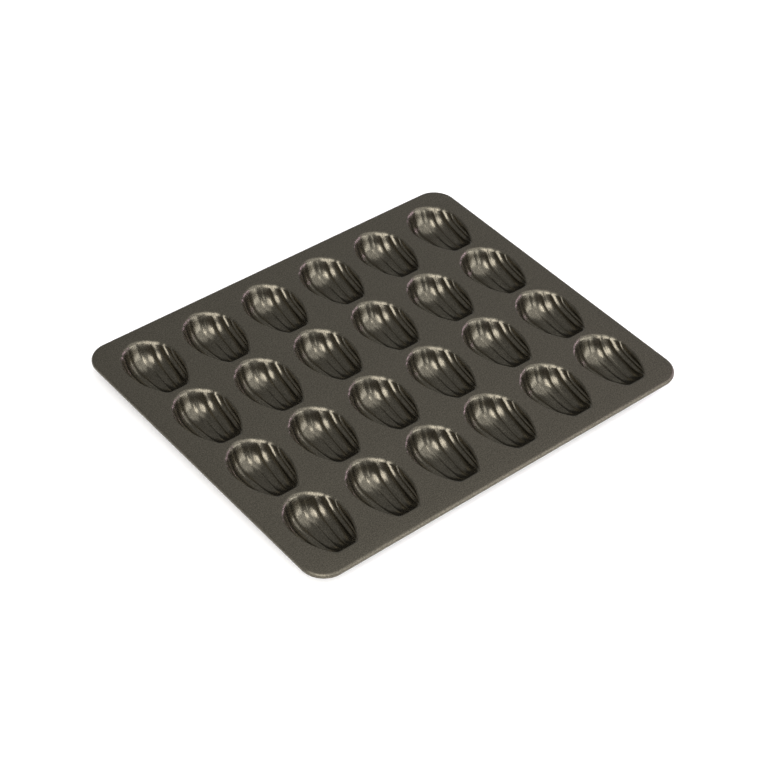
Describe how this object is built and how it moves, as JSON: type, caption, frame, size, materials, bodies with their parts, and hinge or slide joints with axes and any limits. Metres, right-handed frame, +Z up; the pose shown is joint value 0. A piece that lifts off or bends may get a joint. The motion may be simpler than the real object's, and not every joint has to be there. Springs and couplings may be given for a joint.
{
  "type": "madeleine pan",
  "caption": "Flat rectangular baking pan of dark coated sheet steel with rows of fluted, shell-shaped cups and a rolled, wired rim, for baking small sponge cakes.",
  "frame": {"origin": "under the middle of the pan, level with the lowest points of the cups' undersides", "axes": "+X along the long side, +Y towards the round ends of the cups, +Z up, out of the cups' mouths"},
  "size_m": [0.372, 0.302, 0.0192],
  "materials": {
    "coated_steel": "dark warm grey non-stick coating, satin on the deck and glossier in the cups",
    "wire_steel": "plain drawn steel wire"
  },
  "bodies": {
    "root": {"rim": "coated_steel", "rim_wire": "wire_steel", "cup_r1_c1": "coated_steel", "cup_r1_c2": "coated_steel", "cup_r1_c3": "coated_steel", "cup_r1_c4": "coated_steel", "cup_r1_c5": "coated_steel", "cup_r1_c6": "coated_steel", "cup_r2_c1": "coated_steel", "cup_r2_c2": "coated_steel", "cup_r2_c3": "coated_steel", "cup_r2_c4": "coated_steel", "cup_r2_c5": "coated_steel", "cup_r2_c6": "coated_steel", "cup_r3_c1": "coated_steel", "cup_r3_c2": "coated_steel", "cup_r3_c3": "coated_steel", "cup_r3_c4": "coated_steel", "cup_r3_c5": "coated_steel", "cup_r3_c6": "coated_steel", "cup_r4_c1": "coated_steel", "cup_r4_c2": "coated_steel", "cup_r4_c3": "coated_steel", "cup_r4_c4": "coated_steel", "cup_r4_c5": "coated_steel", "cup_r4_c6": "coated_steel"}
  },
  "joints": []
}
